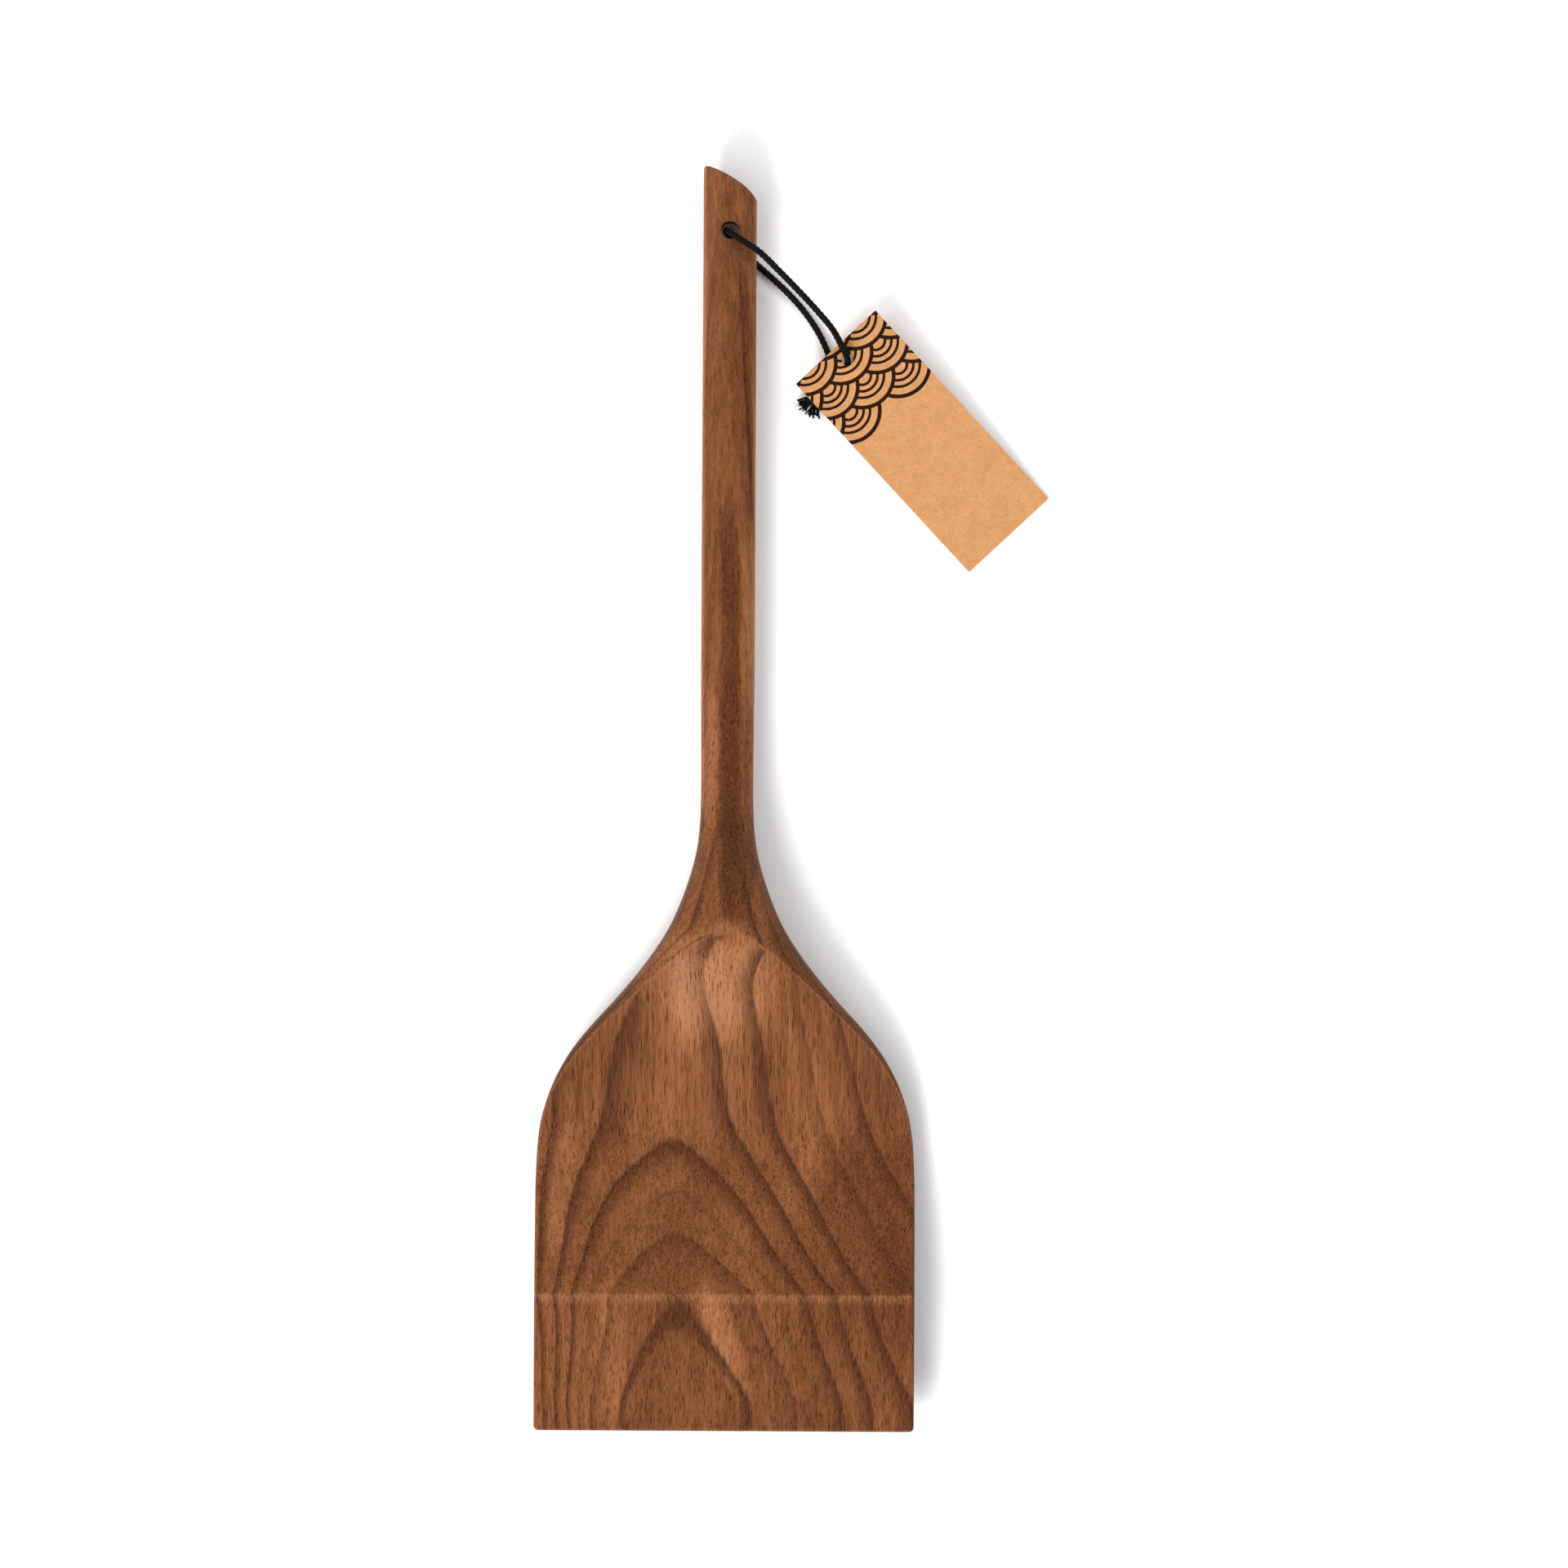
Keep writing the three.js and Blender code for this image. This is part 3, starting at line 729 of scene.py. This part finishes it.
def tied_knot():
    """Both strands tied together in one overhand knot."""
    middle = [
        (-4.62, -0.7, -0.35), (-2.7, -1.4, -0.6), (-1.35, -0.85, -0.95), (0.0, 0.95, 0.85), (1.35, 1.85, 0.5),
        (2.05, 0.95, -0.3), (1.4, -0.9, -0.95), (0.0, -1.75, 0.0), (-1.4, -0.9, 0.95), (-2.05, 0.95, 0.3),
        (-1.35, 1.85, -0.5), (0.0, 0.95, -0.85), (1.35, -0.85, 0.9), (2.7, -1.35, 0.3), (4.2, -0.7, -0.75),
    ]
    local, total = catmull(middle, 0.2)
    t = np.gradient(local, axis=0)
    side = np.stack([-t[:, 1], t[:, 0], 0 * t[:, 0]], 1)
    side /= np.linalg.norm(side, axis=1)[:, None]
    s = np.linspace(0, total, len(local))
    square = np.clip((1.6 - s) / 1.6, 0, 1)[:, None]
    side = side * (1 - square) + np.array([0.0, 1.0, 0.0]) * square
    side /= np.linalg.norm(side, axis=1)[:, None]
    spread = 0.78 + 0.55 * np.clip((1.6 - s) / 1.6, 0, 1) + 0.7 * np.clip((s - total + 1.6) / 1.6, 0, 1)
    verts, faces = [], []
    for sign, phase in ((1, 0.0), (-1, 1.1)):
        strand = local + side * spread[:, None] * sign
        strand[:, 2] += 0.10 * sign * np.sin(s * 0.9)
        line = np.array([knot_point(*q) for q in strand])
        line[:, 2] = np.maximum(line[:, 2], 0.98)
        tube(line, plied(s, 4.6, 0.96, phase=phase), 20, verts, faces)
    ob = make_object("tied_knot", verts, faces, CORD, "cord_loop")
    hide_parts("cord_knot")
    return ob


def frayed_end(name, node, start, heading, reach, seed):
    """A cut end whose yarns have come apart."""
    rnd = random.Random(seed)
    h = math.radians(heading)
    out = np.array([math.cos(h), math.sin(h), 0.0])
    across = np.array([-math.sin(h), math.cos(h), 0.0])
    up = np.array([0.0, 0.0, 1.0])
    verts, faces = [], []
    yarns = 14
    for k in range(yarns):
        ang = 2.399963 * k
        rho = math.sqrt((k + 0.5) / yarns)
        root = start + across * (1.0 * rho * math.cos(ang)) + up * (0.60 * rho * math.sin(ang))
        length = reach * rnd.uniform(0.66, 1.05)
        flare = 0.75 + 0.55 * rho
        side = across * (flare * rho * math.cos(ang) + rnd.uniform(-0.25, 0.25)) + up * (0.55 * rho * math.sin(ang) - 0.10)
        curl = across * rnd.uniform(-0.35, 0.35) + up * rnd.uniform(-0.12, 0.30)
        pts = [root - out * 0.5]
        for q in (0.25, 0.5, 0.75, 1.0):
            pts.append(root + out * length * q + side * q**1.5 + curl * math.sin(q * math.pi))
        pts = np.array(pts)
        r = rnd.uniform(0.25, 0.33)
        pts[:, 2] = np.maximum(pts[:, 2], r + 0.02)
        line, total = catmull(pts, 0.22)
        s = np.linspace(0, total, len(line))
        tube(line, lambda i, a, s=s, r=r, total=total: r * (1 - 0.12 * s[i] / total) * (1 + 0.10 * np.cos(2 * a - 4.2 * s[i])), 8, verts, faces)
    for k in range(8):
        root = start + out * rnd.uniform(0.2, 1.2)
        length = reach * rnd.uniform(0.55, 1.05)
        side = across * rnd.uniform(-1.7, 1.7) + up * rnd.uniform(-0.4, 1.0)
        pts = np.array([root + out * length * q * 0.92 + side * q**1.4 for q in (0, 0.33, 0.66, 1.0)])
        pts[:, 2] = np.maximum(pts[:, 2], 0.08)
        line, total = catmull(pts, 0.35)
        tube(line, lambda i, a: 0.045 + 0 * a, 5, verts, faces)
    ob = make_object(name, verts, faces, CORD, "cord_loop")
    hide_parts(node)
    return ob


cord, cord_path, cord_length = hang_cord()
knot = tied_knot()
tail_a = frayed_end("frayed_end_upper", "cord_tail_upper", knot_point(3.85, -1.70, -0.85), 210.0, 4.1, 4)
tail_b = frayed_end("frayed_end_lower", "cord_tail_lower", knot_point(4.3, 0.28, -0.85), 252.0, 3.5, 9)

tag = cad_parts["hang_tag"]
tag.data.materials.clear()
tag.data.materials.append(CARD)


# ---------------------------------------------------------------- wooden body
def wooden_body():
    m = 44          # columns from the middle to each side
    k_face = 132    # columns across the scooped face
    apex = None
    lo, hi = -45.0, -30.0
    for _ in range(60):
        mid = 0.5 * (lo + hi)
        if float(face_z(mid)) >= float(crown_z(mid)):
            hi = mid
        else:
            lo = mid
    apex = 0.5 * (lo + hi)

    # Rows from the handle end to the tip: ("end", distance from the end), ("lean", fraction)
    # near the slanted end, and ("y", place) below it.
    rows = [("end", d) for d in (0.0, 0.03, 0.09, 0.18, 0.30, 0.44, 0.6, 0.85, 1.2, 1.8, 2.6)]
    base_y = 140.0
    rows += [("lean", f) for f in np.linspace(0.90, 0.70, 7)]
    rows += [("lean", f) for f in np.linspace(0.685, 0.375, 25)]
    rows += [("lean", f) for f in np.linspace(0.34, 0.0, 8)]
    ys = list(np.linspace(base_y, 0.0, 71)[1:])
    ys += list(np.linspace(0.0, -33.0, 46)[1:])
    ys += list(np.linspace(-33.0, apex, 13)[1:])
    first_face = len(rows) + len(ys) - 1
    below = np.cumsum([0.02, 0.06, 0.10, 0.14, 0.18, 0.22, 0.26, 0.30, 0.34, 0.38, 0.42, 0.46, 0.5])
    ys += [apex - d for d in below]
    ys += list(np.linspace(ys[-1], -92.0, 88)[1:])
    ys += list(np.linspace(-92.0, CREASE[0] + 1.2, 46)[1:])
    ys += [CREASE[0] + d for d in (0.9, 0.65, 0.45, 0.28, 0.14, 0.0, -0.14, -0.28, -0.45, -0.65, -0.9, -1.3)]
    ys += list(np.linspace(CREASE[0] - 1.3, TIP_Y + 3.0, 32)[1:])
    ys += [TIP_Y + d for d in (2.3, 1.75, 1.3, 1.0, 0.75, 0.55, 0.38, 0.24, 0.13, 0.05, 0.0)]
    rows += [("y", q) for q in ys]
    n = len(rows)

    def row_y(row, x):
        kind, v = row
        if kind == "end":
            return handle_end(x) - v
        if kind == "lean":
            return base_y + (handle_end(x) - 2.6 - base_y) * (v / 0.93)
        return np.full_like(np.asarray(x, float), v)

    verts, faces = [], []

    def put(x, y, z):
        start = len(verts)
        verts.extend(np.stack([x, y, z], 1).tolist())
        return np.arange(start, start + len(x))

    right, left, inner, under = [], [], [], []
    cols = np.arange(m + 1) / m
    sweep = np.sin(np.linspace(-0.5, 0.5, k_face + 1) * math.pi)
    for i, row in enumerate(rows):
        if row[0] == "y":
            y0 = row[1]
            uc = float(meeting_u(y0)) if i > first_face else 0.0
            w = float(half_width(y0))
        else:
            y0, uc = 150.0, 0.0
            w = float(half_width(y0))
        power = 1.0 + 0.5 * min(max((-28.0 - y0) / 10.0, 0.0), 1.0)
        th = math.asin(min(uc, 1.0))
        xr = w * np.sin(th + (math.pi / 2 - th) * cols**power)
        yr = row_y(row, xr)
        yl = row_y(row, -xr)
        zr, zr_low = skins(xr, yr)
        zl, zl_low = skins(-xr, yl)
        # The silhouette: both skins meet there.
        ez_r, ez_l = float(edge_z(yr[-1])), float(edge_z(yl[-1]))
        zr[-1], zl[-1] = ez_r, ez_l
        r_idx = put(xr, yr, zr)
        l_idx = put(-xr[1:], yl[1:], zl[1:])
        if i <= first_face:
            l_idx = np.concatenate([[r_idx[0]], l_idx])
            inner.append(None)
        else:
            first = put(-xr[:1], yl[:1], zl[:1])
            l_idx = np.concatenate([first, l_idx])
            xi = xr[0] * sweep[1:-1]
            zi, _ = skins(xi, np.full_like(xi, y0))
            inner.append(np.concatenate([[l_idx[0]], put(xi, np.full_like(xi, y0), zi), [r_idx[0]]]))
        right.append(r_idx)
        left.append(l_idx)
        # Lower skin, on even columns.
        xu = w * np.sin(np.linspace(-0.5, 0.5, 2 * m + 1) * math.pi)
        yu = row_y(row, xu)
        _, zu = skins(xu, yu)
        mid_idx = put(xu[1:-1], yu[1:-1], zu[1:-1])
        under.append(np.concatenate([[l_idx[-1]], mid_idx, [r_idx[-1]]]))

    def quads(a, b, flip=False):
        for j in range(len(a) - 1):
            q = [int(a[j]), int(b[j]), int(b[j + 1]), int(a[j + 1])]
            q = [v for t, v in enumerate(q) if v not in q[:t]]
            if len(q) > 2:
                faces.append(tuple(q[::-1] if flip else q))

    def whole(i):
        return np.concatenate([left[i][::-1], right[i][1:]])

    # The hole takes the place of a block of quads in both skins.
    lean_rows = [i for i, r in enumerate(rows) if r[0] == "lean"]
    near = []
    for i in lean_rows:
        yc = verts[int(right[i][0])][1]
        if abs(yc - HANDLE_HOLE_Y) < 4.6:
            near.append(i)
    ia, ib = near[0], near[-1]
    xs0 = np.array([verts[int(v)][0] for v in right[ia]])
    cb = int(np.searchsorted(xs0, 4.6))

    for i in range(n - 1):
        if i < first_face:
            a, b = whole(i), whole(i + 1)
            if ia <= i < ib:
                quads(a[: m - cb + 1], b[: m - cb + 1])
                quads(a[m + cb :], b[m + cb :])
            else:
                quads(a, b)
        else:
            quads(right[i], right[i + 1])
            quads(left[i][::-1], left[i + 1][::-1])
            if i == first_face:
                tip = int(right[i][0])
                nxt = inner[i + 1]
                for j in range(len(nxt) - 1):
                    faces.append((tip, int(nxt[j]), int(nxt[j + 1])))
            else:
                quads(inner[i], inner[i + 1])
        ua, ub = under[i], under[i + 1]
        if ia <= i < ib:
            quads(ua[: m - cb + 1], ub[: m - cb + 1], True)
            quads(ua[m + cb :], ub[m + cb :], True)
        else:
            quads(ua, ub, True)

    def ring_of(index):
        loop = [(ia, c) for c in range(-cb, cb)]
        loop += [(i, cb) for i in range(ia, ib)]
        loop += [(ib, c) for c in range(cb, -cb, -1)]
        loop += [(i, -cb) for i in range(ib, ia, -1)]
        return [int(index(i, c)) for i, c in loop]

    def upper_at(i, c):
        return right[i][c] if c >= 0 else left[i][-c]

    def under_at(i, c):
        return under[i][m + c]

    def close(a, b):
        k = len(a)
        for j in range(k):
            faces.append((a[j], b[j], b[(j + 1) % k], a[(j + 1) % k]))

    rim_r = 0.35
    walls = []
    for index, which in ((upper_at, 0), (under_at, 1)):
        loop = ring_of(index)
        outer = np.array([verts[v] for v in loop])
        ang = np.arctan2(outer[:, 1] - HANDLE_HOLE_Y, outer[:, 0])
        reach = np.hypot(outer[:, 1] - HANDLE_HOLE_Y, outer[:, 0])
        last = loop
        rings = [("flat", t) for t in (0.2, 0.38, 0.54, 0.68, 0.79, 0.88, 0.95, 1.0)]
        rings += [("rim", math.radians(d)) for d in (15, 30, 45, 60, 75, 90)]
        for kind, t in rings:
            if kind == "flat":
                rho = reach + (HANDLE_HOLE_R + rim_r - reach) * t
                drop = 0.0
            else:
                rho = np.full_like(reach, HANDLE_HOLE_R + rim_r * (1 - math.sin(t)))
                drop = rim_r * (1 - math.cos(t))
            x, y = rho * np.cos(ang), HANDLE_HOLE_Y + rho * np.sin(ang)
            z = skins(x, y)[which] + (-drop if which == 0 else drop)
            new = put(x, y, z).tolist()
            close(last, new) if which == 0 else close(new, last)
            last = new
        walls.append(last)
    top_ring = np.array([verts[v] for v in walls[0]])
    low_ring = np.array([verts[v] for v in walls[1]])
    last = walls[0]
    for t in np.linspace(0, 1, 9)[1:-1]:
        p = top_ring + (low_ring - top_ring) * t
        new = put(p[:, 0], p[:, 1], p[:, 2]).tolist()
        close(last, new)
        last = new
    close(last, walls[1])

    # End face of the handle: from the upper rim down to the lower one.
    a = whole(0)
    b = under[0]
    pa, pb = np.array([verts[int(v)] for v in a]), np.array([verts[int(v)] for v in b])
    last = a
    for t in np.linspace(0, 1, 11)[1:-1]:
        p = pa + (pb - pa) * t
        mid = put(p[1:-1, 0], p[1:-1, 1], p[1:-1, 2])
        new = np.concatenate([[a[0]], mid, [a[-1]]])
        quads(new, last)
        last = new
    quads(b, last)

    # Tip: the two skins are joined by a narrow strip.
    top_line = np.concatenate([left[-1][::-1][:-1], inner[-1], right[-1][1:]])
    low_line = under[-1]
    tx = [verts[int(v)][0] for v in top_line]
    lx = [verts[int(v)][0] for v in low_line]
    i = j = 0
    while i < len(tx) - 1 or j < len(lx) - 1:
        if j == len(lx) - 1 or (i < len(tx) - 1 and tx[i + 1] <= lx[j + 1]):
            tri = (int(top_line[i]), int(low_line[j]), int(top_line[i + 1]))
            i += 1
        else:
            tri = (int(top_line[i]), int(low_line[j]), int(low_line[j + 1]))
            j += 1
        if len(set(tri)) == 3:
            faces.append(tri)

    ob = make_object("spatula_wood", verts, faces, WOOD, "spatula")
    import bmesh

    bm = bmesh.new()
    bm.from_mesh(ob.data)
    bmesh.ops.remove_doubles(bm, verts=bm.verts, dist=1e-7)
    bmesh.ops.recalc_face_normals(bm, faces=bm.faces)
    bm.to_mesh(ob.data)
    bm.free()
    # Rubbed edges: the rim of the scoop, the tip and the handle end. The lines on the scoop's rim and the handle end
    # are partly wear and partly a painted highlight of the rounded edges.
    co = np.empty(len(ob.data.vertices) * 3)
    ob.data.vertices.foreach_get("co", co)
    x, y, z = (co.reshape(-1, 3) / MM).T
    e = edge_z(y)
    arch = np.sqrt(np.maximum(1.0 - np.clip(x / half_width(y), -1, 1) ** 2, 0.0))
    gap = e + (crown_z(y) - e) * arch - face_z(y)
    side = np.where(x > 0, 0.75, 0.38) * np.clip((y + 112.0) / 25.0, 0.0, 1.0) + np.where(x > 0, 0.05, 0.30)
    wear_and_highlight = np.where((y < -30.0) & (z > e), side * np.exp(-((gap / 0.30) ** 2)), 0.0)
    wear_and_highlight = np.maximum(wear_and_highlight, 0.35 * np.where(y < -170.0, np.exp(-(((y - TIP_Y) / 0.6) ** 2)), 0.0))
    wear_and_highlight = np.maximum(wear_and_highlight, 0.45 * np.where(y > 150.0, np.exp(-(((handle_end(x) - y) / 0.5) ** 2)), 0.0) * (z > e - 2.0))
    ob.data.attributes.new("edge_wear_and_highlight", "FLOAT", "POINT").data.foreach_set("value", wear_and_highlight.astype(np.float32))
    ob.data.update()
    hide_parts("spatula_body")
    return ob


body = wooden_body()

# ---------------------------------------------------------------- floor, lights
floor_mesh = bpy.data.meshes.new("floor")
floor_mesh.from_pydata([(-6, -6, 0), (6, -6, 0), (6, 6, 0), (-6, 6, 0)], [], [(0, 1, 2, 3)])
floor_mesh.materials.append(floor_material())
floor = bpy.data.objects.new("floor", floor_mesh)
scene.collection.objects.link(floor)


def soft_light(name, azimuth, elevation, distance, width, height, watts, colour=(1.0, 1.0, 1.0)):
    """A soft box that looks at the middle of the object."""
    data = bpy.data.lights.new(name, "AREA")
    data.shape = "RECTANGLE"
    data.size, data.size_y = width, height
    data.energy = watts
    data.color = colour
    ob = bpy.data.objects.new(name, data)
    az, el = math.radians(azimuth), math.radians(elevation)
    place = np.array([math.cos(az) * math.cos(el), math.sin(az) * math.cos(el), math.sin(el)]) * distance
    ob.location = place.tolist()
    from mathutils import Vector

    ob.rotation_euler = Vector((-place).tolist()).to_track_quat("-Z", "Y").to_euler()
    ob.visible_camera = False
    scene.collection.objects.link(ob)
    return ob


soft_light("key", 241.0, 33.0, 2.4, 1.12, 1.12, 62.0)
soft_light("left", 180.0, 51.0, 2.0, 2.2, 0.8, 10.0)
soft_light("fill", 60.0, 36.0, 0.78, 0.5, 0.5, 2.1)

# The room is brightest half way up, darker overhead and dark low down and straight above.
world = bpy.data.worlds.new("studio")
scene.world = world
world.use_nodes = True
wt = world.node_tree
back = next(n for n in wt.nodes if n.type == "BACKGROUND")
coord = wt.nodes.new("ShaderNodeTexCoord")
part = wt.nodes.new("ShaderNodeSeparateXYZ")
fade = wt.nodes.new("ShaderNodeValToRGB")
wt.links.new(coord.outputs["Generated"], part.inputs[0])
wt.links.new(part.outputs["Z"], fade.inputs[0])
wt.links.new(fade.outputs["Color"], back.inputs["Color"])
for k, (pos, val) in enumerate(((0.0, 0.04), (0.36, 0.10), (0.55, 1.0), (0.74, 0.92), (0.90, 0.62), (0.955, 0.58), (0.985, 0.08))):
    el = fade.color_ramp.elements[k] if k < 2 else fade.color_ramp.elements.new(pos)
    el.position, el.color = pos, (0.985 * val, val, 1.012 * val, 1.0)
back.inputs["Strength"].default_value = 0.88
scene.view_settings.view_transform = "Standard"
scene.view_settings.look = "None"
